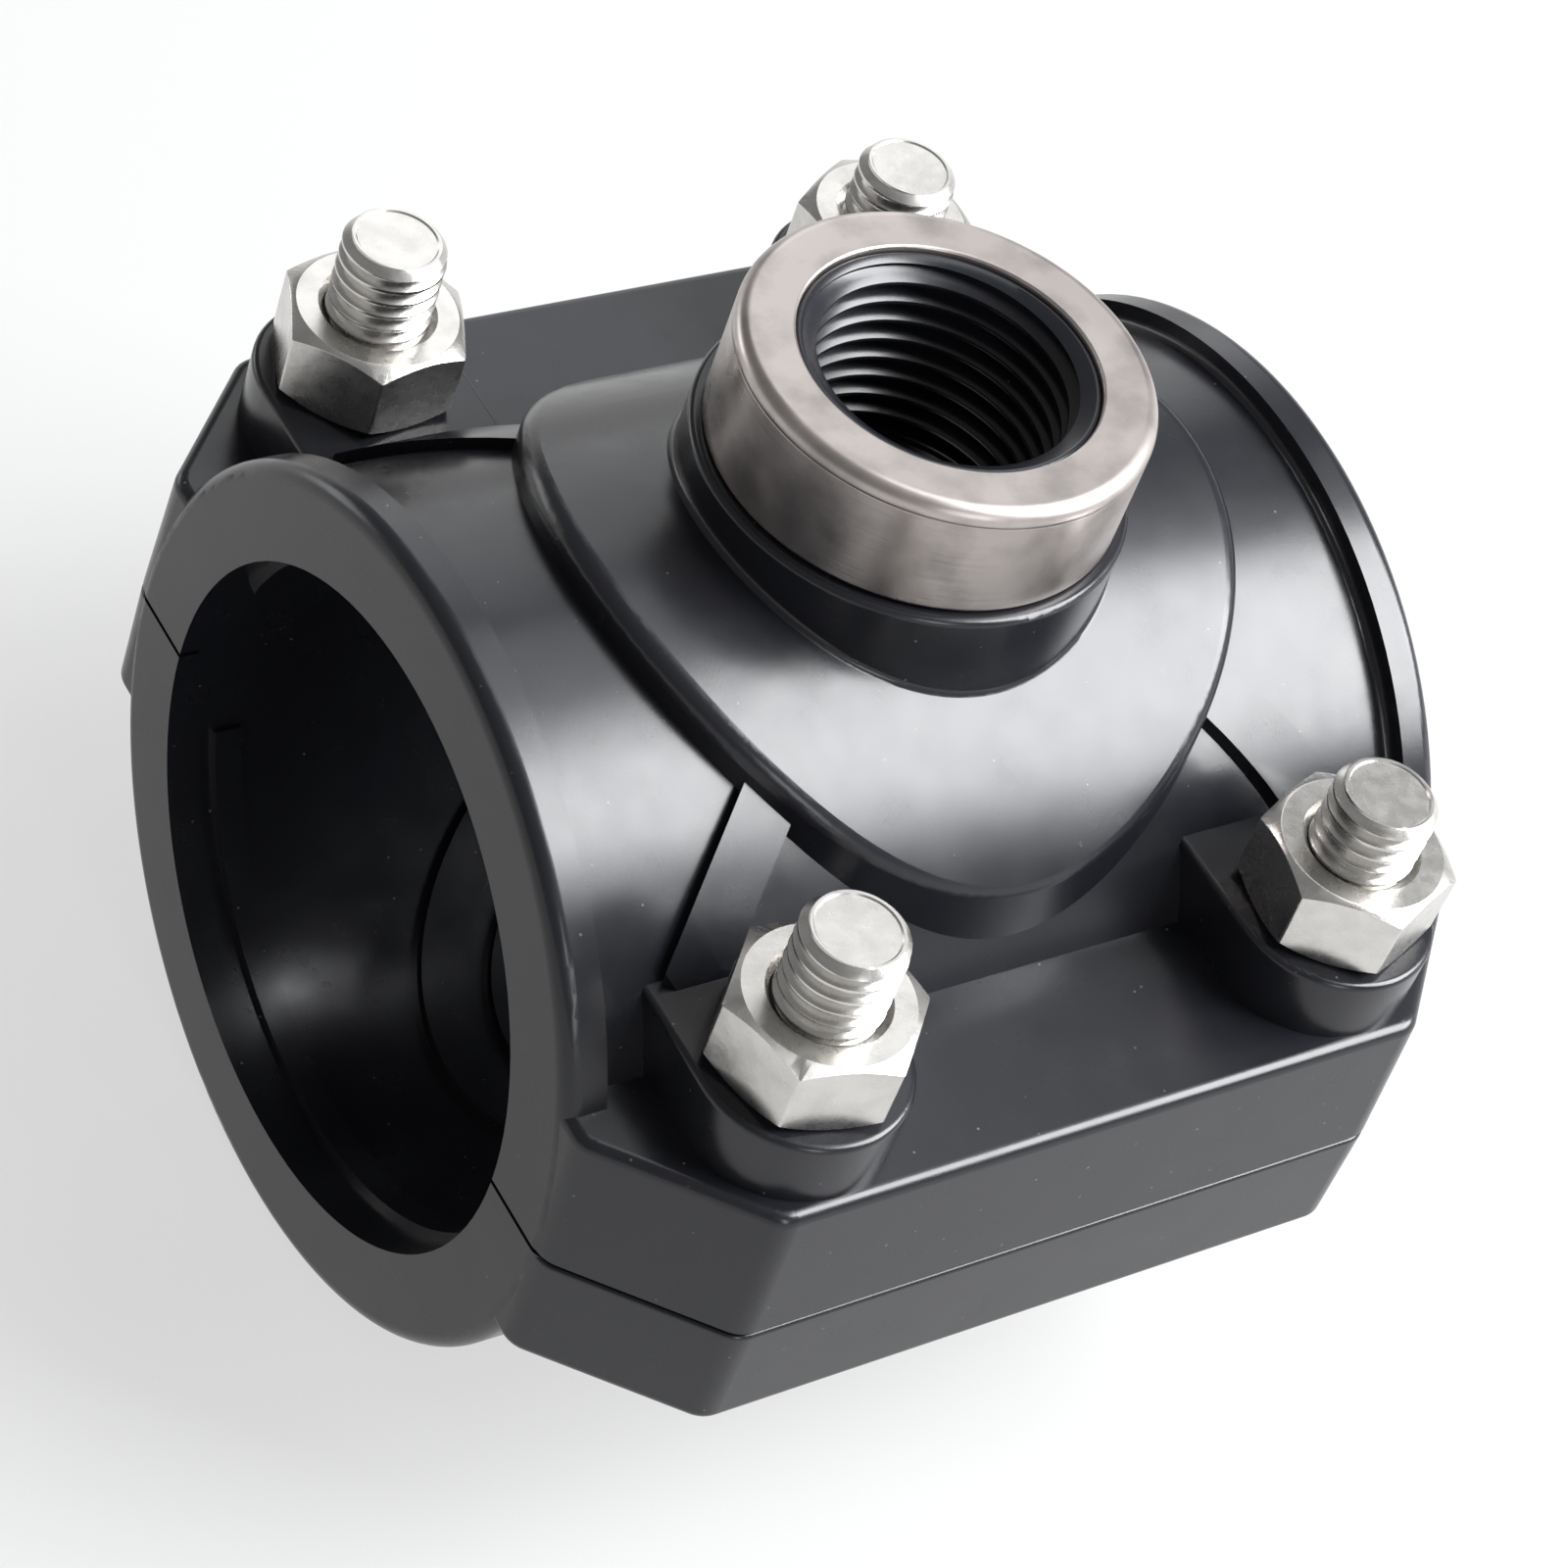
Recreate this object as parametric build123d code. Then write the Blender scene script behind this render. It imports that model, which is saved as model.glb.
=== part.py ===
from build123d import *
from math import hypot, radians, tan
import os

# Tapping saddle: two moulded half shells that clamp round a plastic pressure pipe, with a female
# threaded outlet on the upper one. Millimetres.
# Frame: X along the pipe, Z up the outlet, origin where the two axes cross. Front is -Y, left is -X.

# pipe and half shells
pipe_d = 50.0  # outside diameter of the pipe that is clamped
grip_height = 0.6  # grips and seal stand this far into the bore, down to the pipe
wall = 5.6  # bore to outside of the half shells
body_length = 76.6
collar_width = 3.3  # raised collar round each end
collar_height = 1.6
collar_round = 1.3
collar_foot = 0.6  # fillet between collar and shell

# flanges, joined face to face at z = 0
bolt_stand_off = 2.6  # bolt axis outside the shell's outer face
bolt_end = 15.25  # bolt axis to the end of the body, along the pipe
flange_margin = 9.45  # bolt axis to the flange's long side
flange_land = 0.1  # flange outside the collar at the ends
flange_set_back = 0.1  # flange short of the collar's end face
upper_flange = 12.8  # thickness
lower_flange = 10.25
flange_draft = 2.6  # degrees, on the upper flange's sides but not its end faces
flange_corner = 2.6  # vertical corners
flange_edge = 0.9  # rounded edges away from the parting plane
parting_edge = 0.35  # rounded edge of the lower flange at the parting plane
parting_gap = 0.4  # the upper half is relieved round its outline
parting_gap_depth = 1.6

# bolt bosses on the upper flange
boss_r = 8.1
boss_height = 5.7
boss_edge = 0.5

# bolts and nuts
bolt_d = 8.0
bolt_length = 35.0  # under the head
bolt_tip = 0.9  # chamfer
head_height = 5.3
nut_height = 6.5
across_flats = 13.0
hex_face_d = 12.3  # chamfer circle on a hexagon's face
hex_chamfer = 30.0  # degrees
bolt_clearance = 0.5  # radial, in the flanges
nut_clearance = 0.05  # radial, nut on bolt
nut_mouth = 0.45  # countersink of the nut's thread
pocket_clearance = 0.2  # each flat of a bolt head in its pocket
head_seat = 3.15  # flange left between bolt head and parting plane

# saddle pad, neck and outlet
pad_r = 27.6  # in plan, about the outlet
pad_height = 2.6  # radial, above the shell
pad_draft = 1.5  # degrees
pad_edge = 1.5
neck_height = 3.2  # shoulder above the crest of the pad
neck_land = 0.9  # shoulder outside the ring
neck_edge = 0.5
neck_fillet = 0.5
outlet_r = 10.478  # thread major radius, G 1/2
thread_length = 15.0
mouth_chamfer = 0.67
passage_step = 1.5  # plain passage is smaller than the thread by this radius

# reinforcing ring, pressed over the neck's spigot
ring_r = 15.4
ring_height = 9.65
ring_sheet = 1.5
ring_edge = 1.2
ring_fit = 0.05  # radial, on the spigot

# diagonal ribs from the pad to the bosses
rib_angle = 43.5  # degrees from the pipe axis, in plan
rib_width = 4.0
rib_height = 0.9  # radial, above the shell
rib_reach = 39.0  # from the outlet axis

# pipe side: end grips, seat ring and seal
grip_width = 2.25
grip_inset = 3.8  # from the end face
grip_end = 18.0  # degrees, from the parting plane to the end of a grip
seat_outer_r = 22.2  # in plan
seat_inner_r = 18.4
plateau_r = 16.4
seal_outer_r = 17.5
seal_inner_r = 12.6
seal_groove = 2.6  # radial, behind the bore
seal_clearance = 0.15  # each side of the seal in its groove
seal_bead = 2.2  # width of the bead that touches the pipe

# each bolt: side along X, side along Y, turn of its nut in degrees, and how far it hangs off its seat
corners = {
    "front_left": (-1, -1, 45.0, 0.0),
    "front_right": (1, -1, 20.0, 1.4),
    "back_left": (-1, 1, 7.0, 0.0),
    "back_right": (1, 1, 30.0, 1.8),
}

pipe_r = pipe_d / 2
bore_r = pipe_r + grip_height
shell_r = bore_r + wall
collar_r = shell_r + collar_height
bolt_x = body_length / 2 - bolt_end
bolt_y = shell_r + bolt_stand_off
flange_half = bolt_y + flange_margin
corner_cut = flange_half - collar_r - flange_land
boss_top = upper_flange + boss_height
pad_top_r = shell_r + pad_height
neck_r = ring_r + neck_land
shoulder_z = pad_top_r + neck_height
ring_top = shoulder_z + ring_height
spigot_top = ring_top - ring_sheet
spigot_r = ring_r - ring_sheet - ring_fit
groove_r = bore_r + seal_groove
far = 3 * flange_half  # longer than anything it cuts
same = 1e-6  # radii closer than this are one radius


def pipe_cylinder(radius, length=far):
    return Cylinder(radius, length, rotation=(0, 90, 0))


def upright(radius, top, bottom=0.0):
    return Pos(0, 0, bottom) * Cylinder(radius, top - bottom, align=(Align.CENTER, Align.CENTER, Align.MIN))


def tube(outer, inner, top, bottom=0.0):
    return upright(outer, top, bottom) - upright(inner, top, bottom)


def bolt_places():
    return [Pos(x * bolt_x, y * bolt_y) for x, y, _, _ in corners.values()]


def shell():
    # a barrel with a collar at each end, revolved about the pipe axis
    end, foot = body_length / 2, body_length / 2 - collar_width
    outline = Polyline(
        (-end, 0), (-end, collar_r), (-foot, collar_r), (-foot, shell_r),
        (foot, shell_r), (foot, collar_r), (end, collar_r), (end, 0),
        close=True,
    )
    profile = make_face(outline)
    rims = [v for v in profile.vertices() if v.Y > shell_r + collar_height / 2]
    profile = fillet([v for v in rims if abs(v.X) > end - collar_width / 2], collar_round)
    feet = [v for v in profile.vertices() if abs(v.Y - shell_r) < same]
    profile = fillet(feet, collar_foot)
    return revolve(profile, Axis.X)


def flange_plan():
    plan = Rectangle(body_length - 2 * flange_set_back, 2 * flange_half)
    return chamfer(plan.vertices(), corner_cut)


def flange(thickness, lean=0.0):
    block = extrude(flange_plan(), amount=thickness)
    if lean:
        sides = [f for f in block.faces() if abs(f.normal_at().Y) > 0.1]
        block = draft(sides, Plane.XY, lean)
    upright_edges = [e for e in block.edges() if e.bounding_box().size.Z > thickness / 2]
    block = fillet(upright_edges, flange_corner)
    return fillet(block.faces().sort_by(Axis.Z)[-1].edges(), flange_edge)


def boss():
    # round at the bolt, with straight walls that run back into the shell
    back = Rectangle(2 * boss_r, bolt_y, align=(Align.CENTER, Align.MAX))
    block = extrude(Circle(boss_r) + back, amount=boss_top)
    return fillet(block.faces().sort_by(Axis.Z)[-1].edges(), boss_edge)


def pad_and_neck():
    # the pad is round in plan and follows the pipe on top, so its wall grows down the sides
    block = extrude(Circle(pad_r), amount=shoulder_z, taper=pad_draft)
    pad = block & pipe_cylinder(pad_top_r)
    rim = [e for e in pad.edges() if e.bounding_box().min.Z > pad_edge and e.length > pad_r]
    pad = fillet(rim, pad_edge)
    neck = upright(neck_r, shoulder_z)
    neck = fillet(neck.edges().sort_by(Axis.Z)[-1], neck_edge)
    joined = pad + neck
    root = [e for e in joined.edges() if is_neck_root(e)]
    return fillet(root, neck_fillet)


def is_neck_root(edge):
    # the saddle-shaped line where the neck leaves the pad
    spots = [edge.position_at(t) for t in (0.1, 0.35, 0.6, 0.85)]
    on_neck = all(abs(hypot(p.X, p.Y) - neck_r) < 1e-3 for p in spots)
    on_pad = all(abs(hypot(p.Y, p.Z) - pad_top_r) < 1e-3 for p in spots)
    return on_neck and on_pad


def diagonal_ribs():
    bar = Box(rib_reach, rib_width, shell_r + rib_height, align=(Align.MIN, Align.CENTER, Align.MIN))
    bars = [Rot(0, 0, turn) * bar for turn in (rib_angle, 180 - rib_angle, -rib_angle, rib_angle - 180)]
    return [b & pipe_cylinder(shell_r + rib_height) for b in bars]


def end_grips():
    # short of the parting plane on both sides
    arc = 180 - 2 * grip_end
    strip = Pos(-body_length / 2 + grip_inset + grip_width / 2, bore_r) * Rectangle(grip_width, 2 * grip_height)
    grip = Rot(grip_end, 0, 0) * revolve(strip, Axis.X, revolution_arc=arc)
    return [grip, mirror(grip, about=Plane.YZ)]


def pipe_core(raised):
    # what the mould's core leaves: the bore, less the features that stand in to the pipe
    return pipe_cylinder(bore_r) - (raised - pipe_cylinder(pipe_r))


def hex_prism(height, clearance=0.0):
    flats = RegularPolygon(across_flats / 2 + clearance, 6, major_radius=False)
    return extrude(flats, amount=height)


def hex_limits(height, both_ends):
    # the turned shape that cuts a hexagon's corners back
    corner = across_flats / 3**0.5
    face = hex_face_d / 2
    drop = (corner - face) * tan(radians(hex_chamfer))
    low = [(0, 0), (face, 0), (corner, drop)] if both_ends else [(0, 0), (corner, 0)]
    outline = Polyline(*low, (corner, height - drop), (face, height), (0, height), close=True)
    return revolve(Plane.XZ * make_face(outline), Axis.Z)


def nut(turn):
    body = hex_prism(nut_height) & hex_limits(nut_height, both_ends=True)
    hole_r = bolt_d / 2 + nut_clearance
    body -= upright(hole_r, nut_height)
    mouths = body.edges().filter_by(GeomType.CIRCLE)
    body = chamfer([e for e in mouths if abs(e.radius - hole_r) < same], nut_mouth)
    return Pos(0, 0, boss_top) * Rot(0, 0, turn) * body


def bolt(slack):
    head = hex_prism(head_height) & hex_limits(head_height, both_ends=False)
    shank = Cylinder(bolt_d / 2, bolt_length, align=(Align.CENTER, Align.CENTER, Align.MIN))
    shank = chamfer(shank.edges().sort_by(Axis.Z)[-1], bolt_tip)
    body = Rot(180, 0, 0) * head + shank
    return Pos(0, 0, -head_seat - slack) * body


def parting_relief():
    inner = offset(flange_plan(), -parting_gap_depth, kind=Kind.INTERSECTION)
    return extrude(Rectangle(far, far) - inner, amount=parting_gap)


def seat_ring():
    return tube(seat_outer_r, seat_inner_r, shell_r)


def upper_saddle():
    body = shell() + flange(upper_flange, flange_draft)
    for place in bolt_places():
        back = 180 if place.position.Y < 0 else 0
        body += place * Rot(0, 0, back) * boss()
    body += pad_and_neck()
    for rib in diagonal_ribs():
        body += rib
    body += upright(spigot_r, spigot_top)
    raised = seat_ring() + upright(seal_inner_r - seal_clearance, shell_r)
    for grip in end_grips():
        raised += grip
    body -= pipe_core(raised)
    groove = tube(seal_outer_r + seal_clearance, seal_inner_r - seal_clearance, shell_r)
    body -= groove & pipe_cylinder(groove_r)
    body -= upright(outlet_r - passage_step, ring_top)
    body -= upright(outlet_r, ring_top, spigot_top - thread_length)
    mouth = Cone(outlet_r, outlet_r + mouth_chamfer, mouth_chamfer, align=(Align.CENTER, Align.CENTER, Align.MAX))
    body -= Pos(0, 0, spigot_top) * mouth
    for place in bolt_places():
        body -= place * upright(bolt_d / 2 + bolt_clearance, boss_top)
    body -= parting_relief()
    return split(body, Plane.XY, keep=Keep.TOP)


def lower_saddle():
    block = flange(lower_flange)
    block = fillet(block.faces().sort_by(Axis.Z)[0].edges(), parting_edge)
    body = shell() + block
    raised = seat_ring() + upright(plateau_r, shell_r)
    for grip in end_grips():
        raised += grip
    body -= pipe_core(raised)
    for place in bolt_places():
        body -= place * upright(bolt_d / 2 + bolt_clearance, lower_flange)
        # the pocket runs clear of the shell, so that the head goes in from below
        body -= place * Pos(0, 0, head_seat) * hex_prism(shell_r, pocket_clearance)
    return Rot(180, 0, 0) * split(body, Plane.XY, keep=Keep.TOP)


def reinforcing_ring():
    # a cap of sheet metal: a skirt round the spigot and a lip over its top
    hole_r, skirt_r = outlet_r + mouth_chamfer, ring_r - ring_sheet
    outline = Polyline(
        (hole_r, spigot_top), (skirt_r, spigot_top), (skirt_r, shoulder_z),
        (ring_r, shoulder_z), (ring_r, ring_top), (hole_r, ring_top),
        close=True,
    )
    section = make_face(outline)
    rim = [v for v in section.vertices() if v.X > skirt_r and v.Y > spigot_top]
    return revolve(Plane.XZ * fillet(rim, ring_edge), Axis.Z)


def outlet_seal():
    # a saddle-shaped gasket in its groove, with one bead on the pipe
    block = tube(seal_outer_r, seal_inner_r, shell_r)
    middle = (seal_outer_r + seal_inner_r) / 2
    bead = tube(middle + seal_bead / 2, middle - seal_bead / 2, shell_r)
    base = block & (pipe_cylinder(groove_r) - pipe_cylinder(bore_r))
    return base + (bead & (pipe_cylinder(groove_r) - pipe_cylinder(pipe_r)))


pieces = {
    "upper_saddle": upper_saddle(),
    "lower_saddle": lower_saddle(),
    "reinforcing_ring": reinforcing_ring(),
    "outlet_seal": outlet_seal(),
}
for (corner, (x, y, turn, slack)), place in zip(corners.items(), bolt_places()):
    pieces["nut_" + corner] = place * nut(turn)
    pieces["bolt_" + corner] = place * bolt(slack)

os.makedirs("parts", exist_ok=True)
for name, piece in pieces.items():
    export_step(piece, "parts/" + name + ".step")
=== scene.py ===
from math import cos, hypot, pi, radians, sin, tan

import bpy
from mathutils import Matrix, Vector


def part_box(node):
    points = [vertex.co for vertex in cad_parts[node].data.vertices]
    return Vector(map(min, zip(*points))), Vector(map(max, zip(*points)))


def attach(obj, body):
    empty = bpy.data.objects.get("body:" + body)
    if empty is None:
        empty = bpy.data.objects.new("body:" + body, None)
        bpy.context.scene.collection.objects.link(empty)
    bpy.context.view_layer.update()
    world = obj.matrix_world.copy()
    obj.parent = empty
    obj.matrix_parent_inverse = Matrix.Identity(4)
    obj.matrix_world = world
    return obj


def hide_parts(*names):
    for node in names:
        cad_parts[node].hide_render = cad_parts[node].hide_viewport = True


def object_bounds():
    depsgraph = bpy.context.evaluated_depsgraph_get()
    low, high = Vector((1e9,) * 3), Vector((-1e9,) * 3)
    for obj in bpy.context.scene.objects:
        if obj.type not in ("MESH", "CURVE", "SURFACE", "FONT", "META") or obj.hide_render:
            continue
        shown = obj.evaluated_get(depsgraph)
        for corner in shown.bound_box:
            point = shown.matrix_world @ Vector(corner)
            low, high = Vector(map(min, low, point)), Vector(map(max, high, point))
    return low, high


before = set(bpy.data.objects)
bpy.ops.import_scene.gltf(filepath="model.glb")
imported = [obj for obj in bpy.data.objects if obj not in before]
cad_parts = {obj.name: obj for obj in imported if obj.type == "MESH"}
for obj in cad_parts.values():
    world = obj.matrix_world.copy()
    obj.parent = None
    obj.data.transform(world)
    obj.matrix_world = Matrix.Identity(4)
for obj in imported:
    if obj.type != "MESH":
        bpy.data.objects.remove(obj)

# Tapping saddle for a 50 mm pipe. Metres, in the CAD model's frame: X along the pipe, Z up the outlet.

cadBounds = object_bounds()
mm = 0.001
weldGap = 1e-7  # points closer than this are one
surfaceGap = 0.01 * mm  # a mesh point this close to a surface is on it
spareTurns = 2  # of a thread, wound past each end and cut off
cutterSteps = 96  # round a turned shape that cuts another
print("frame loaded")


# Modelling steps that several pieces share

def deselectAll():
    if bpy.context.object and bpy.context.object.mode != "OBJECT":
        bpy.ops.object.mode_set(mode="OBJECT")
    bpy.ops.object.select_all(action="DESELECT")


def pick(piece):
    deselectAll()
    piece.select_set(True)
    bpy.context.view_layer.objects.active = piece


def applyModifiers(piece):
    pick(piece)
    for modifier in list(piece.modifiers):
        bpy.ops.object.modifier_apply(modifier=modifier.name)


def freeze(piece):
    # origin back to zero, so that the piece's place is in its mesh
    pick(piece)
    bpy.ops.object.transform_apply(location=True, rotation=True, scale=True)


def closeMesh(piece):
    pick(piece)
    bpy.ops.object.mode_set(mode="EDIT")
    bpy.ops.mesh.select_all(action="SELECT")
    bpy.ops.mesh.remove_doubles(threshold=weldGap)
    bpy.ops.mesh.normals_make_consistent(inside=False)
    bpy.ops.object.mode_set(mode="OBJECT")


def walkOutline(name, outline):
    # one point, extruded from corner to corner in the XZ plane
    deselectAll()
    x, z = outline[0]
    bpy.ops.mesh.primitive_plane_add(size=mm, location=(x, 0, z))
    piece = bpy.context.object
    piece.name = name
    bpy.ops.object.mode_set(mode="EDIT")
    bpy.ops.mesh.select_mode(type="VERT")
    bpy.ops.mesh.merge(type="CENTER")
    for here, there in zip(outline, outline[1:]):
        step = (there[0] - here[0], 0, there[1] - here[1])
        bpy.ops.mesh.extrude_vertices_move(TRANSFORM_OT_translate={"value": step})
    bpy.ops.object.mode_set(mode="OBJECT")
    return piece


def turned(name, outline, steps):
    # the outline spun round the Z axis, closed where it starts and ends
    piece = walkOutline(name, outline)
    bpy.ops.object.mode_set(mode="EDIT")
    bpy.ops.mesh.select_all(action="SELECT")
    bpy.ops.mesh.spin(steps=steps, angle=2 * pi, center=(0, 0, 0), axis=(0, 0, 1))
    bpy.ops.object.mode_set(mode="OBJECT")
    freeze(piece)
    closeMesh(piece)
    return piece


def arc(cx, cz, radius, first, last, steps):
    # points of a round corner, angles in degrees from +X towards +Z
    angles = [radians(first + (last - first) * i / steps) for i in range(steps + 1)]
    return [(cx + radius * cos(a), cz + radius * sin(a)) for a in angles]


def combine(piece, tool, operation):
    change = piece.modifiers.new(operation.lower(), "BOOLEAN")
    change.operation = operation
    change.solver = "EXACT"
    change.object = tool
    applyModifiers(piece)
    bpy.data.objects.remove(tool)


def copyOf(piece, name):
    twin = piece.copy()
    twin.data = piece.data.copy()
    twin.name = name
    bpy.context.scene.collection.objects.link(twin)
    return twin


def turnAndMove(piece, angle, place):
    piece.data.transform(Matrix.Translation(place) @ Matrix.Rotation(radians(angle), 4, "Z"))


def smooth(piece, angle):
    # smooth shading that stays flat on the large faces between rounded edges
    pick(piece)
    bpy.ops.object.shade_smooth_by_angle(angle=radians(angle))
    evener = piece.modifiers.new("evenShading", "WEIGHTED_NORMAL")
    evener.keep_sharp = True
    applyModifiers(piece)


def sliceFlat(piece, z, keepAbove):
    # cuts the piece off square at a height and fills the cut
    pick(piece)
    bpy.ops.object.mode_set(mode="EDIT")
    bpy.ops.mesh.select_all(action="SELECT")
    bpy.ops.mesh.bisect(
        plane_co=(0, 0, z), plane_no=(0, 0, 1), use_fill=True,
        clear_inner=keepAbove, clear_outer=not keepAbove, threshold=weldGap,
    )
    bpy.ops.object.mode_set(mode="OBJECT")


def threadedRod(name, thread, low, high):
    # one pitch of the thread's outline, wound up the Z axis by a Screw modifier
    pitch, rows = thread["pitch"], thread["rows"]
    depth = thread["majorRadius"] - thread["minorRadius"]
    outline = []
    for i in range(rows + 1):
        climb = 1 - abs(2 * i / rows - 1)  # 0 at the root, 1 at the crest
        flank = (climb - thread["rootShare"]) / (1 - thread["rootShare"] - thread["crestShare"])
        flank = min(max(flank, 0), 1)
        softened = flank * flank * (3 - 2 * flank)
        height = flank + (softened - flank) * thread["roundness"]
        outline.append((thread["minorRadius"] + depth * height, low - spareTurns * pitch + pitch * i / rows))
    piece = walkOutline(name, outline)
    freeze(piece)
    winding = piece.modifiers.new("winding", "SCREW")
    winding.axis = "Z"
    winding.angle = 2 * pi
    winding.screw_offset = pitch
    winding.iterations = int((high - low) / pitch) + 2 * spareTurns
    winding.steps = thread["steps"]
    winding.render_steps = thread["steps"]
    applyModifiers(piece)
    closeMesh(piece)
    sliceFlat(piece, low, keepAbove=True)
    sliceFlat(piece, high, keepAbove=False)
    closeMesh(piece)
    return piece


def middleOf(node):
    low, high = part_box(node)
    return (low + high) / 2


# Bolts and nuts

corners = {
    "front_left": {"nutTurn": 45.0, "threadStart": 150.0},
    "front_right": {"nutTurn": 20.0, "threadStart": 20.0},
    "back_left": {"nutTurn": 7.0, "threadStart": 260.0},
    "back_right": {"nutTurn": 30.0, "threadStart": 80.0},
}

boltThread = {
    "pitch": 1.25 * mm,
    "majorRadius": 3.96 * mm,
    "minorRadius": 3.26 * mm,
    "crestShare": 0.16,
    "rootShare": 0.12,
    "roundness": 0.6,
    "rows": 10,
    "steps": 64,
}

boltShape = {
    "acrossFlats": 13.0 * mm,
    "headHeight": 5.3 * mm,
    "faceRadius": 6.15 * mm,  # chamfer circle on a hexagon's face
    "hexChamfer": 30.0,
    "cornerEase": 0.16 * mm,  # softened upright edges of the hexagon
    "cornerSteps": 3,
    "limitMargin": 0.2 * mm,  # the turned shape that cuts the corners is wider than they are
    "edgeEase": 0.07 * mm,  # softened edges where the corners are cut back
    "edgeSteps": 2,
    "edgeInside": 0.1 * mm,  # edges further than this inside the chamfer circle stay sharp
    "edgeAngle": 18.0,
    "threadBase": 0.5 * mm,  # where the winding starts, above the head
    "crestClear": 0.02 * mm,  # the limit of the rod stands outside the thread's crest
    "limitFoot": 0.2 * mm,
    "tipChamfer": 0.65 * mm,
    "tipEaseOut": 0.12 * mm,  # blend between chamfer and rim
    "tipEaseDown": 0.1 * mm,
    "tipRim": 0.22 * mm,  # narrow raised edge left by the cut
    "tipDish": 0.12 * mm,
    "shankEnd": 1.0 * mm,  # plain neck under the head
    "neckInset": 0.1 * mm,  # neck thinner than the limit of the rod
    "neckSteps": 64,
    "smoothAngle": 32.0,
}

nutShape = {
    "threadGap": 0.06 * mm,
    "tapOverrun": 1.5 * mm,  # tap above the nut
    "mouthRadius": 4.5 * mm,
    "mouthInset": 0.3 * mm,  # the mouth's cone ends inside the thread's crest
    "mouthOverrun": 0.3 * mm,  # and starts outside the nut's face
}


def hexBlank(name, low, high, bothEnds):
    # a hexagon bar, cut back at its corners by a turned shape
    corner = boltShape["acrossFlats"] / 3**0.5
    face = boltShape["faceRadius"]
    drop = (corner - face) * tan(radians(boltShape["hexChamfer"]))
    deselectAll()
    bpy.ops.mesh.primitive_cylinder_add(
        vertices=6, radius=corner, depth=high - low,
        location=(0, 0, (low + high) / 2), rotation=(0, 0, pi / 6),
    )
    blank = bpy.context.object
    blank.name = name
    freeze(blank)
    bpy.ops.object.mode_set(mode="EDIT")
    bpy.ops.mesh.select_all(action="DESELECT")
    bpy.ops.object.mode_set(mode="OBJECT")
    for edge in blank.data.edges:
        ends = [blank.data.vertices[i].co for i in edge.vertices]
        edge.select = abs(ends[0].z - ends[1].z) > (high - low) / 2
    bpy.ops.object.mode_set(mode="EDIT")
    bpy.ops.mesh.bevel(offset=boltShape["cornerEase"], segments=boltShape["cornerSteps"], affect="EDGES")
    bpy.ops.object.mode_set(mode="OBJECT")
    wide = corner + boltShape["limitMargin"]
    slant = (wide - face) * tan(radians(boltShape["hexChamfer"]))
    outline = [(0, low), (face, low), (wide, low + slant)]
    if bothEnds:
        outline += [(wide, high - slant), (face, high), (0, high)]
    else:
        outline += [(wide, high + drop), (0, high + drop)]
    limit = turned("limit", outline, cutterSteps)
    combine(blank, limit, "INTERSECT")
    closeMesh(blank)
    return blank


def easeHexEdges(piece):
    # the cut-back edges of a hexagon are never knife sharp
    pick(piece)
    edgeFloor = boltShape["faceRadius"] - boltShape["edgeInside"]
    bpy.ops.object.mode_set(mode="EDIT")
    bpy.ops.mesh.select_mode(type="EDGE")
    bpy.ops.mesh.select_all(action="DESELECT")
    bpy.ops.mesh.edges_select_sharp(sharpness=radians(boltShape["edgeAngle"]))
    bpy.ops.object.mode_set(mode="OBJECT")
    for edge in piece.data.edges:
        ends = [piece.data.vertices[i].co for i in edge.vertices]
        if min(hypot(p.x, p.y) for p in ends) < edgeFloor:
            edge.select = False
    bpy.ops.object.mode_set(mode="EDIT")
    bpy.ops.mesh.bevel(
        offset=boltShape["edgeEase"], segments=boltShape["edgeSteps"], affect="EDGES", clamp_overlap=True,
    )
    bpy.ops.object.mode_set(mode="OBJECT")


def makeBolt():
    # modelled once, head below z = 0 and thread up
    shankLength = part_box("bolt_front_left")[1].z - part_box("bolt_front_left")[0].z - boltShape["headHeight"]
    rod = threadedRod("rod", boltThread, boltShape["threadBase"], shankLength)
    radius, foot = boltThread["majorRadius"] + boltShape["crestClear"], boltShape["limitFoot"]
    chamfer, rim, dish = boltShape["tipChamfer"], boltShape["tipRim"], boltShape["tipDish"]
    face = radius - chamfer
    outline = [
        (0, foot), (radius, foot), (radius, shankLength - chamfer),
        (face + boltShape["tipEaseOut"], shankLength - boltShape["tipEaseDown"]),
        (face, shankLength), (face - rim, shankLength),
        (face - rim - dish, shankLength - dish), (0, shankLength - dish),
    ]
    combine(rod, turned("limit", outline, cutterSteps), "INTERSECT")
    neck = boltShape["shankEnd"]
    neckRadius = radius - boltShape["neckInset"]
    neckOutline = [(0, -neck), (neckRadius, -neck), (neckRadius, neck), (0, neck)]
    combine(rod, turned("neck", neckOutline, boltShape["neckSteps"]), "UNION")
    combine(rod, hexBlank("head", -boltShape["headHeight"], 0, bothEnds=False), "UNION")
    closeMesh(rod)
    easeHexEdges(rod)
    return rod


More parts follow.
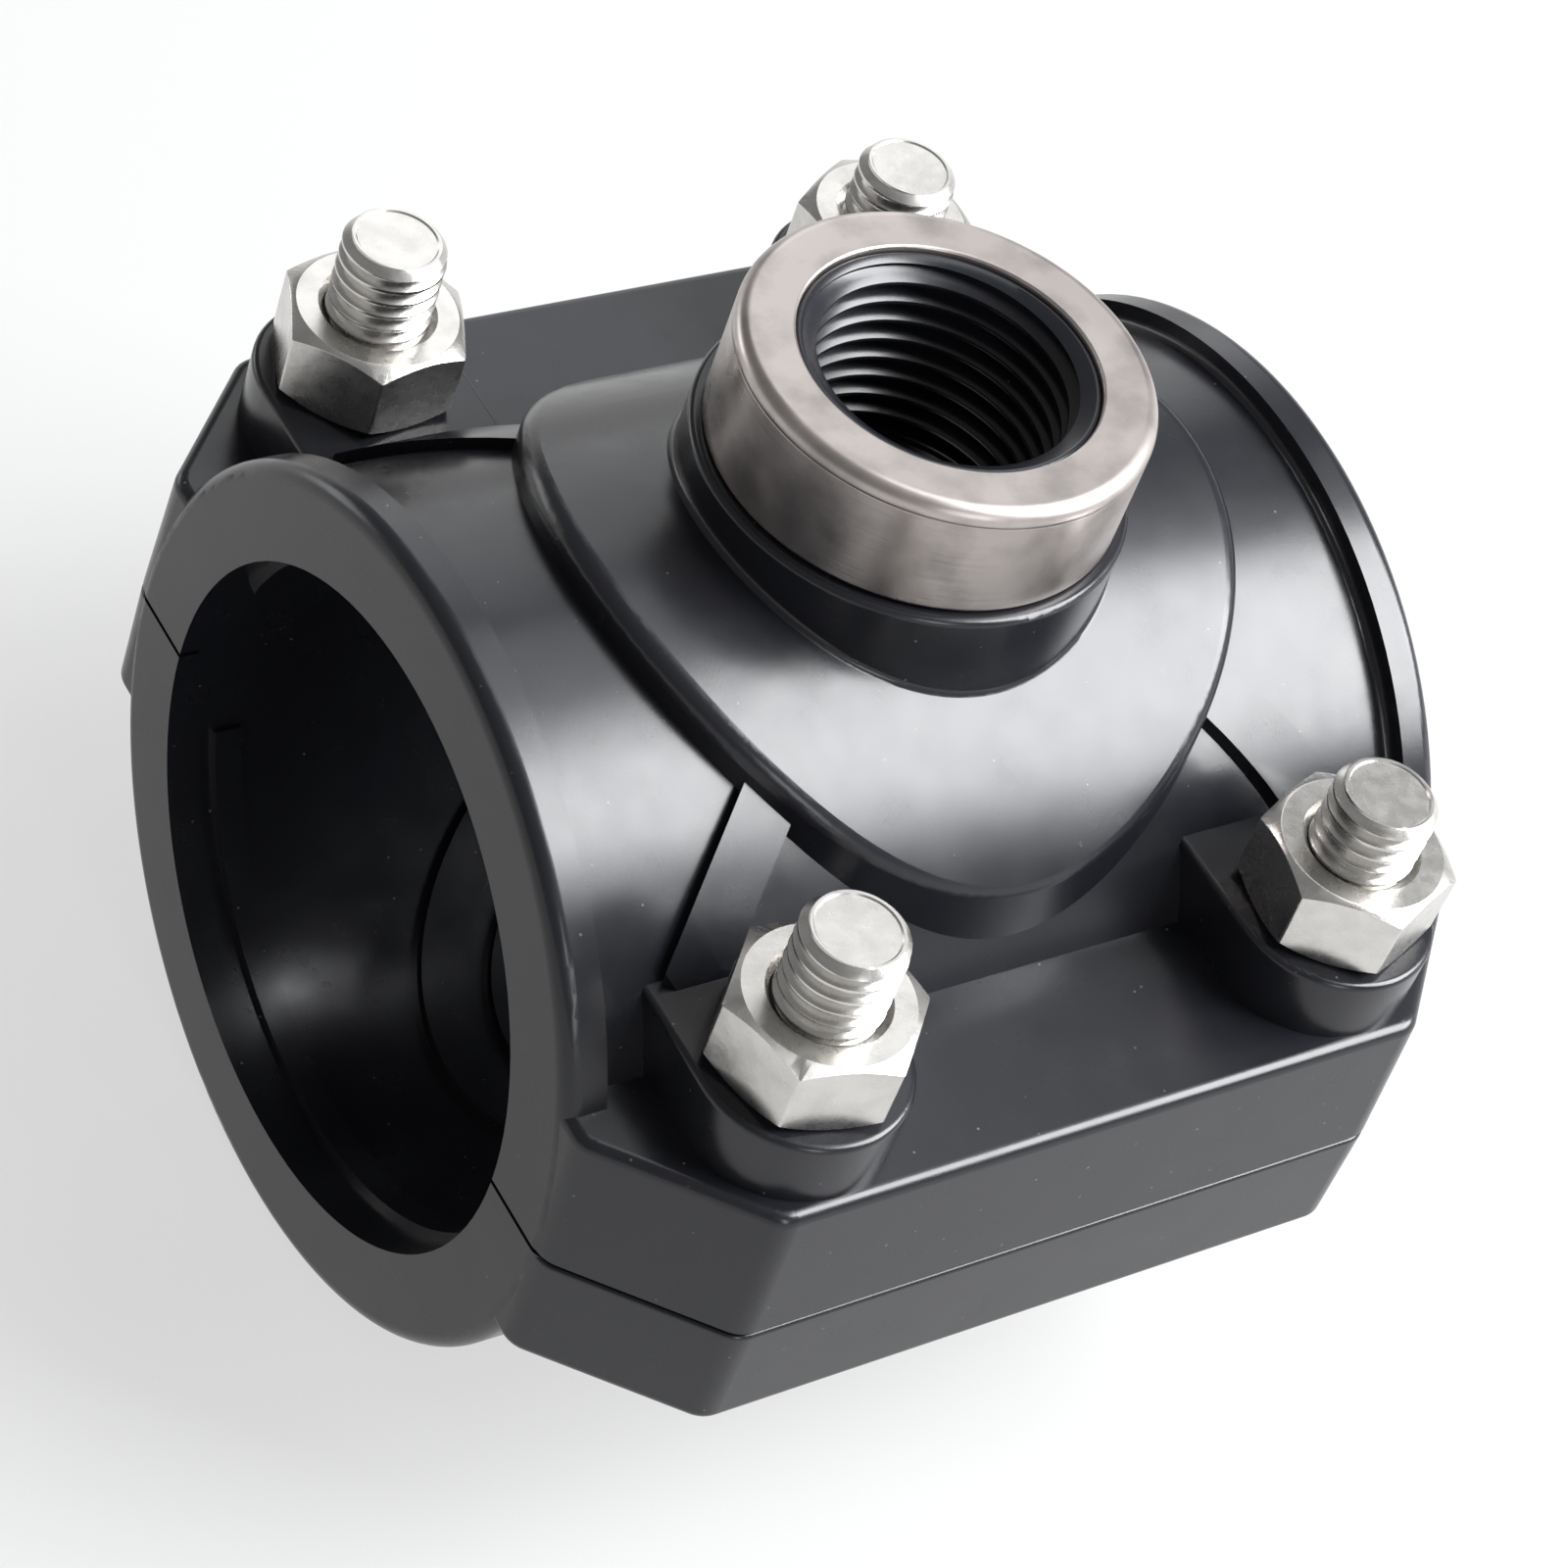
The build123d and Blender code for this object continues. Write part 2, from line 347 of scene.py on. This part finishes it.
def makeNut(name, boltBase, corner):
    node = "nut_" + corner
    low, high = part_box(node)[0].z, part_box(node)[1].z
    place = middleOf(node)
    nut = hexBlank(name, low, high, bothEnds=True)
    turnAndMove(nut, corners[corner]["nutTurn"], (0, 0, 0))
    widerThread = dict(boltThread)
    widerThread["majorRadius"] += nutShape["threadGap"]
    widerThread["minorRadius"] += nutShape["threadGap"]
    # wound from the bolt's own base, then turned by threadStart, which the bolt isn't:
    # so inside the nut the two threads are out of step by that turn
    base = boltBase.z
    turnsBelow = int((low - base) / boltThread["pitch"]) - spareTurns
    start = base + turnsBelow * boltThread["pitch"]
    tap = threadedRod("tap", widerThread, start + boltShape["threadBase"], high + nutShape["tapOverrun"])
    turnAndMove(tap, corners[corner]["threadStart"], (0, 0, 0))
    combine(nut, tap, "DIFFERENCE")
    mouth, inner = nutShape["mouthRadius"], boltThread["minorRadius"] - nutShape["mouthInset"]
    sink, over = mouth - inner, nutShape["mouthOverrun"]
    for face, inward in ((low, 1), (high, -1)):
        outline = [
            (0, face - inward * over), (mouth + over, face - inward * over),
            (inner, face + inward * sink), (0, face + inward * sink),
        ]
        combine(nut, turned("mouth", outline, cutterSteps), "DIFFERENCE")
    easeHexEdges(nut)
    turnAndMove(nut, 0, (place.x, place.y, 0))
    return nut


boltMaster = makeBolt()
fasteners = []
for corner in corners:
    boltNode = "bolt_" + corner
    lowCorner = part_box(boltNode)[0]
    seat = Vector((middleOf(boltNode).x, middleOf(boltNode).y, lowCorner.z + boltShape["headHeight"]))
    bolt = copyOf(boltMaster, "threadedBolt_" + corner)
    turnAndMove(bolt, 0, seat)
    nut = makeNut("hexNut_" + corner, seat, corner)
    for piece, node in ((bolt, boltNode), (nut, "nut_" + corner)):
        smooth(piece, boltShape["smoothAngle"])
        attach(piece, node)
        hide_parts(node)
        fasteners.append(piece)
bpy.data.objects.remove(boltMaster)
print("bolts and nuts done")


# Reinforcing ring, one cap of sheet metal with a drawn skirt

ringShape = {
    "sheet": 1.5 * mm,
    "rimRadius": 1.1 * mm,  # rounded rim between top and side
    "mouthRadius": 0.25 * mm,  # inner edge of the top
    "footRadius": 0.3 * mm,  # lower edge of the skirt
    "footGap": 0.15 * mm,  # the skirt stops short of the neck's shoulder
    "pressLine": 1.35 * mm,  # fine line below the top, where the draw ended
    "pressDepth": 0.03 * mm,
    "mouthSteps": 5,
    "rimSteps": 12,
    "footSteps": 4,
    "steps": 192,
    "smoothAngle": 40.0,
}


def makeRing():
    low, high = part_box("reinforcing_ring")
    outer, top, foot = high.x, high.z, low.z + ringShape["footGap"]
    skirt = outer - ringShape["sheet"]
    underside = top - ringShape["sheet"]
    mouth = holeRadius("reinforcing_ring", top)
    rim, lip, toe = ringShape["rimRadius"], ringShape["mouthRadius"], ringShape["footRadius"]
    line, depth = top - ringShape["pressLine"], ringShape["pressDepth"]
    outline = [(mouth, underside)]
    outline += arc(mouth + lip, top - lip, lip, 180, 90, ringShape["mouthSteps"])
    outline += arc(outer - rim, top - rim, rim, 90, 0, ringShape["rimSteps"])
    outline += [(outer, line + 2 * depth), (outer - depth, line), (outer, line - 2 * depth)]
    outline += arc(outer - toe, foot + toe, toe, 0, -90, ringShape["footSteps"])
    outline += [(skirt, foot), (skirt, underside), (mouth, underside)]
    return turned("reinforcingRing", outline, ringShape["steps"])


def holeRadius(node, z):
    # the smallest radius that a node's mesh has at a height
    points = [v.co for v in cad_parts[node].data.vertices]
    return min(hypot(p.x, p.y) for p in points if abs(p.z - z) < surfaceGap)


ring = makeRing()
smooth(ring, ringShape["smoothAngle"])
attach(ring, "saddle")
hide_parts("reinforcing_ring")
print("ring done")


# The outlet's pipe thread, moulded in the neck's bore

outletThread = {
    "pitch": 1.814 * mm,
    "majorRadius": 10.478 * mm,
    "minorRadius": 9.316 * mm,
    "crestShare": 0.1,
    "rootShare": 0.1,
    "roundness": 0.75,
    "rows": 12,
    "steps": 112,
}

threadSleeve = {
    "seat": 0.12 * mm,  # how far the sleeve stands into the neck's wall
    "runOut": 0.4 * mm,  # below the last turn
    "noseDrop": 0.4 * mm,  # nose below the ring's top
    "noseGap": 0.05 * mm,  # nose inside the ring's hole
    "noseEdge": 0.25 * mm,
    "mouth": 0.2 * mm,  # mouth wider than the thread
    "leadIn": 35.0,  # degrees, chamfer at the mouth
    "threadStart": 150.0,
    "crestCut": 0.05 * mm,  # blank of the sleeve inside the thread's crest
    "tapOverrun": 2 * mm,  # tap above the ring
    "ledgeAbove": 20 * mm,  # the ledge under the thread is higher than this
    "noseSteps": 4,
    "steps": 128,
    "smoothAngle": 40.0,
}


def makeOutletThread():
    # a sleeve in the bore whose nose fills the ring's hole, cut by a tap of the thread's own form
    spigotTop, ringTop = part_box("upper_saddle")[1].z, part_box("reinforcing_ring")[1].z
    major, inner = outletThread["majorRadius"], outletThread["minorRadius"] - threadSleeve["crestCut"]
    seated, edge = major + threadSleeve["seat"], threadSleeve["noseEdge"]
    noseRadius = holeRadius("reinforcing_ring", ringTop) - threadSleeve["noseGap"]
    noseTop = ringTop - threadSleeve["noseDrop"]
    mouth = major + threadSleeve["mouth"]
    lead = (mouth - inner) * tan(radians(threadSleeve["leadIn"]))
    floorZ = boreFloor()
    outline = [
        (inner, floorZ), (seated, floorZ),
        (seated, spigotTop - (noseRadius - seated)), (noseRadius, spigotTop),
    ]
    outline += arc(noseRadius - edge, noseTop - edge, edge, 0, 90, threadSleeve["noseSteps"])
    outline += [(mouth, noseTop), (inner, noseTop - lead), (inner, floorZ)]
    sleeve = turned("outletThread", outline, threadSleeve["steps"])
    tapFoot, tapTop = floorZ + threadSleeve["runOut"], ringTop + threadSleeve["tapOverrun"]
    tap = threadedRod("tap", outletThread, tapFoot, tapTop)
    turnAndMove(tap, threadSleeve["threadStart"], (0, 0, 0))
    combine(sleeve, tap, "DIFFERENCE")
    closeMesh(sleeve)
    return sleeve


def boreFloor():
    # the ledge under the outlet's thread
    points = [v.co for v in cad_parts["upper_saddle"].data.vertices]
    wall = outletThread["majorRadius"]
    onWall = [p.z for p in points if abs(hypot(p.x, p.y) - wall) < surfaceGap]
    return min(z for z in onWall if z > threadSleeve["ledgeAbove"])


sleeve = makeOutletThread()
smooth(sleeve, threadSleeve["smoothAngle"])
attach(sleeve, "saddle")
print("outlet thread done")


# Materials

def newMaterial(name, color, metallic, roughness):
    material = bpy.data.materials.new(name)
    material.use_nodes = True
    shader = material.node_tree.nodes["Principled BSDF"]
    shader.inputs["Base Color"].default_value = (*color, 1)
    shader.inputs["Metallic"].default_value = metallic
    shader.inputs["Roughness"].default_value = roughness
    return material, shader


def addNode(material, kind, **settings):
    node = material.node_tree.nodes.new(kind)
    for name, value in settings.items():
        if hasattr(node, name):
            setattr(node, name, value)
        else:
            node.inputs[name].default_value = value
    return node


def join(material, output, target):
    material.node_tree.links.new(output, target)


def noise(material, scale, detail, stretch=(1, 1, 1)):
    # noise in object space; scale is in cells to a metre, stretch squeezes it along an axis
    place = addNode(material, "ShaderNodeTexCoord")
    mapping = addNode(material, "ShaderNodeMapping")
    mapping.inputs["Scale"].default_value = stretch
    pattern = addNode(material, "ShaderNodeTexNoise", Scale=scale, Detail=detail)
    join(material, place.outputs["Object"], mapping.inputs["Vector"])
    join(material, mapping.outputs["Vector"], pattern.inputs["Vector"])
    return pattern.outputs["Fac"]


def remap(material, source, fromLow, fromHigh, toLow, toHigh):
    node = addNode(material, "ShaderNodeMapRange")
    for name, value in (("From Min", fromLow), ("From Max", fromHigh), ("To Min", toLow), ("To Max", toHigh)):
        node.inputs[name].default_value = value
    join(material, source, node.inputs["Value"])
    return node.outputs["Result"]


def blendColors(material, factor, first, second):
    node = addNode(material, "ShaderNodeMix", data_type="RGBA")
    node.inputs[6].default_value = (*first, 1)
    node.inputs[7].default_value = (*second, 1)
    join(material, factor, node.inputs[0])
    return node.outputs[2]


def bump(material, shader, height, depth, under=None):
    node = addNode(material, "ShaderNodeBump", Strength=1.0, Distance=depth)
    join(material, height, node.inputs["Height"])
    if under:
        join(material, under, node.inputs["Normal"])
    join(material, node.outputs["Normal"], shader.inputs["Normal"])
    return node.outputs["Normal"]


plasticLook = {
    "color": (0.0100, 0.0105, 0.0135),
    "ior": 1.47,
    "roughness": (0.19, 0.31),
    "meanRoughness": 0.35,
    "cloudCells": 300.0,  # where the surface is duller
    "cloudSpan": (0.1, 0.9),
    "grainCells": 5200.0,  # fine texture of the mould's surface
    "grainDepth": 0.003 * mm,
    "flowCells": 90.0,  # slow waves where the moulding shrank
    "flowDepth": 0.05 * mm,
    "dustCells": 700.0,
    "dustEdge": (0.05, 0.09),  # where a speck fades out, as a share of its cell
    "dustChance": (0.60, 0.85),
    "dustShare": 0.8,
    "dustColor": (0.13, 0.13, 0.13),
}


def satinPlastic():
    material, shader = newMaterial("satinPlastic", plasticLook["color"], 0.0, plasticLook["meanRoughness"])
    cloud = noise(material, plasticLook["cloudCells"], detail=3.0)
    rough = remap(material, cloud, *plasticLook["cloudSpan"], *plasticLook["roughness"])
    join(material, rough, shader.inputs["Roughness"])
    place = addNode(material, "ShaderNodeTexCoord")
    specks = addNode(material, "ShaderNodeTexVoronoi", Scale=plasticLook["dustCells"], Randomness=1.0)
    join(material, place.outputs["Object"], specks.inputs["Vector"])
    near = remap(material, specks.outputs["Distance"], *plasticLook["dustEdge"], 1.0, 0.0)
    chance = remap(
        material, specks.outputs["Color"], *plasticLook["dustChance"], 0.0, plasticLook["dustShare"],
    )
    dust = addNode(material, "ShaderNodeMath", operation="MULTIPLY")
    join(material, near, dust.inputs[0])
    join(material, chance, dust.inputs[1])
    color = blendColors(material, dust.outputs[0], plasticLook["color"], plasticLook["dustColor"])
    join(material, color, shader.inputs["Base Color"])
    waves = noise(material, plasticLook["flowCells"], detail=1.0)
    waveNormal = bump(material, shader, waves, plasticLook["flowDepth"])
    grain = noise(material, plasticLook["grainCells"], detail=2.0)
    bump(material, shader, grain, plasticLook["grainDepth"], under=waveNormal)
    shader.inputs["IOR"].default_value = plasticLook["ior"]
    return material


ringLook = {
    "color": (0.49, 0.447, 0.427),
    "stain": (0.27, 0.245, 0.235),
    "roughness": (0.26, 0.44),
    "meanRoughness": 0.34,
    "cloudCells": 120.0,  # where the surface is duller
    "cloudSpan": (0.3, 0.7),
    "stainCells": 260.0,
    "stainSpan": (0.45, 0.8),
    "stainShare": 0.9,
    "brushCells": 420.0,
    "brushStretch": (0.25, 0.25, 9.0),
    "brushDepth": 0.008 * mm,
}


def brushedRing():
    # the noise of the brush marks is squeezed along Z, so that they run round the ring
    material, shader = newMaterial("brushedRingSteel", ringLook["color"], 1.0, ringLook["meanRoughness"])
    cloud = noise(material, ringLook["cloudCells"], detail=4.0)
    smudge = noise(material, ringLook["stainCells"], detail=6.0)
    stain = remap(material, smudge, *ringLook["stainSpan"], 0.0, ringLook["stainShare"])
    color = blendColors(material, stain, ringLook["color"], ringLook["stain"])
    join(material, color, shader.inputs["Base Color"])
    rough = remap(material, cloud, *ringLook["cloudSpan"], *ringLook["roughness"])
    join(material, rough, shader.inputs["Roughness"])
    lines = noise(material, ringLook["brushCells"], detail=3.0, stretch=ringLook["brushStretch"])
    bump(material, shader, lines, ringLook["brushDepth"])
    return material


zincLook = {
    "color": (0.66, 0.645, 0.62),
    "dull": (0.54, 0.525, 0.50),
    "dullCells": 420.0,
    "dullSpan": (0.4, 0.7),
    "dullShare": 0.8,
    "roughness": (0.23, 0.32),
    "meanRoughness": 0.22,
    "roughCells": 700.0,
    "roughSpan": (0.2, 0.8),
    "waveCells": 500.0,
    "waveDepth": 0.02 * mm,
    "grainCells": 2400.0,
    "grainDepth": 0.003 * mm,
}


def brightZinc():
    material, shader = newMaterial("brightZinc", zincLook["color"], 1.0, zincLook["meanRoughness"])
    cloud = noise(material, zincLook["dullCells"], detail=4.0)
    dull = remap(material, cloud, *zincLook["dullSpan"], 0.0, zincLook["dullShare"])
    color = blendColors(material, dull, zincLook["color"], zincLook["dull"])
    join(material, color, shader.inputs["Base Color"])
    patches = noise(material, zincLook["roughCells"], detail=3.0)
    rough = remap(material, patches, *zincLook["roughSpan"], *zincLook["roughness"])
    join(material, rough, shader.inputs["Roughness"])
    waves = noise(material, zincLook["waveCells"], detail=2.0)
    waveNormal = bump(material, shader, waves, zincLook["waveDepth"])
    grain = noise(material, zincLook["grainCells"], detail=2.0)
    bump(material, shader, grain, zincLook["grainDepth"], under=waveNormal)
    return material


rubberLook = {
    "color": (0.012, 0.012, 0.012),
    "roughness": (0.5, 0.7),
    "meanRoughness": 0.6,
    "roughCells": 400.0,
    "roughSpan": (0.3, 0.7),
    "grainCells": 4000.0,
    "grainDepth": 0.01 * mm,
}


def sealRubber():
    material, shader = newMaterial("sealRubber", rubberLook["color"], 0.0, rubberLook["meanRoughness"])
    patches = noise(material, rubberLook["roughCells"], detail=4.0)
    rough = remap(material, patches, *rubberLook["roughSpan"], *rubberLook["roughness"])
    join(material, rough, shader.inputs["Roughness"])
    grain = noise(material, rubberLook["grainCells"], detail=3.0)
    bump(material, shader, grain, rubberLook["grainDepth"])
    return material


def dress(piece, material):
    piece.data.materials.clear()
    piece.data.materials.append(material)


plastic, zinc, steel, rubber = satinPlastic(), brightZinc(), brushedRing(), sealRubber()
for node in ("upper_saddle", "lower_saddle"):
    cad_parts[node].material_slots[0].material = plastic
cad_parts["outlet_seal"].material_slots[0].material = rubber
dress(sleeve, plastic)
dress(ring, steel)
for piece in fasteners:
    dress(piece, zinc)
print("materials done")


# Floor, world, lamps and camera

studio = {
    "floorSize": 6.0,
    "floorGap": 0.02 * mm,  # a hair below the object, so that no two faces share a plane
    "floorColor": (0.48, 0.48, 0.48),
    "floorRoughness": 0.9,
    "floorLift": 0.62,  # share of the floor that shows plain white to the camera and in reflections
    "horizonLight": 1.0,
    "skyLight": 0.24,
    "horizonTop": 0.06,  # sine of the height where the pale horizon ends
    "skyStart": 0.22,
}


def seenDirectly(material):
    # 1 for rays that show the background itself: from the camera, mirrored or through glass
    path = addNode(material, "ShaderNodeLightPath")
    total = path.outputs["Is Camera Ray"]
    for name in ("Is Glossy Ray", "Is Transmission Ray"):
        either = addNode(material, "ShaderNodeMath", operation="MAXIMUM")
        join(material, total, either.inputs[0])
        join(material, path.outputs[name], either.inputs[1])
        total = either.outputs[0]
    return total


def makeFloor():
    deselectAll()
    floorZ = cadBounds[0].z - studio["floorGap"]
    bpy.ops.mesh.primitive_plane_add(size=studio["floorSize"], location=(0, 0, floorZ))
    floor = bpy.context.object
    floor.name = "studioFloor"
    freeze(floor)
    material, shader = newMaterial("studioFloorPaint", studio["floorColor"], 0.0, studio["floorRoughness"])
    white = addNode(material, "ShaderNodeEmission", Strength=1.0)
    share = addNode(material, "ShaderNodeMath", operation="MULTIPLY")
    share.inputs[1].default_value = studio["floorLift"]
    join(material, seenDirectly(material), share.inputs[0])
    mix = addNode(material, "ShaderNodeMixShader")
    join(material, share.outputs[0], mix.inputs[0])
    join(material, shader.outputs[0], mix.inputs[1])
    join(material, white.outputs[0], mix.inputs[2])
    surface = material.node_tree.nodes["Material Output"].inputs["Surface"]
    join(material, mix.outputs[0], surface)
    dress(floor, material)


def makeWorld():
    # pale all round at floor level and dim overhead, as in a tent of cloth
    world = bpy.data.worlds.new("studioWorld")
    bpy.context.scene.world = world
    world.use_nodes = True
    background = world.node_tree.nodes["Background"]
    background.inputs["Color"].default_value = (1, 1, 1, 1)
    direction = addNode(world, "ShaderNodeTexCoord")
    parts = addNode(world, "ShaderNodeSeparateXYZ")
    join(world, direction.outputs["Generated"], parts.inputs[0])
    strength = remap(
        world, parts.outputs["Z"], studio["horizonTop"], studio["skyStart"],
        studio["horizonLight"], studio["skyLight"],
    )
    join(world, strength, background.inputs["Strength"])


# each lamp: direction it stands in, how far off, its size and its brightness as a surface
lamps = {
    "keyBox": {"azimuth": 59, "elevation": 42, "distance": 0.8, "width": 0.48, "height": 0.64, "glow": 20.0},
    "sideBox": {"azimuth": -8, "elevation": 25, "distance": 0.8, "width": 0.14, "height": 0.36, "glow": 6.0},
    "backBox": {"azimuth": 146, "elevation": 30, "distance": 0.8, "width": 0.3, "height": 0.6, "glow": 1.55},
    "topBox": {"azimuth": 108, "elevation": 66, "distance": 0.8, "width": 0.4, "height": 0.4, "glow": 2.4},
    "leftBox": {"azimuth": -158, "elevation": 8, "distance": 0.9, "width": 0.4, "height": 0.26, "glow": 2.2},
}

lampColor = (0.97, 0.985, 1.0)  # a little cooler than white


def standAt(azimuth, elevation, distance, aim=(0, 0, 0)):
    # azimuth 0 stands at -Y, 90 at +X; elevation is above the floor
    a, e = radians(azimuth), radians(elevation)
    return Vector(aim) + distance * Vector((sin(a) * cos(e), -cos(a) * cos(e), sin(e)))


def makeLamps():
    for name, values in lamps.items():
        data = bpy.data.lights.new(name, "AREA")
        data.shape = "RECTANGLE"
        data.size, data.size_y = values["width"], values["height"]
        data.color = lampColor
        data.energy = values["glow"] * pi * values["width"] * values["height"]
        lamp = bpy.data.objects.new(name, data)
        bpy.context.scene.collection.objects.link(lamp)
        lamp.location = standAt(values["azimuth"], values["elevation"], values["distance"])
        lamp.rotation_euler = lamp.location.to_track_quat("Z", "Y").to_euler()
        lamp.visible_camera = False


cameraView = {
    "aim": (1.01 * mm, 0.25 * mm, 0.91 * mm),
    "azimuth": -46.488,
    "elevation": 44.844,
    "roll": 22.32,
    "distance": 351.93 * mm,
    "lens": 105.84,
    "sensor": 36.0,
    "clip": (0.01, 20.0),
}


def makeCamera():
    data = bpy.data.cameras.new("studioCamera")
    data.lens, data.sensor_width = cameraView["lens"], cameraView["sensor"]
    data.clip_start, data.clip_end = cameraView["clip"]
    camera = bpy.data.objects.new("studioCamera", data)
    bpy.context.scene.collection.objects.link(camera)
    aim = Vector(cameraView["aim"])
    place = standAt(cameraView["azimuth"], cameraView["elevation"], cameraView["distance"], aim)
    turn = (place - aim).to_track_quat("Z", "Y").to_matrix().to_4x4()
    roll = Matrix.Rotation(radians(cameraView["roll"]), 4, "Z")
    camera.matrix_world = Matrix.Translation(place) @ turn @ roll
    bpy.context.scene.camera = camera


makeFloor()
makeWorld()
makeLamps()
makeCamera()
bpy.context.scene.view_settings.view_transform = "Standard"
print("studio done")
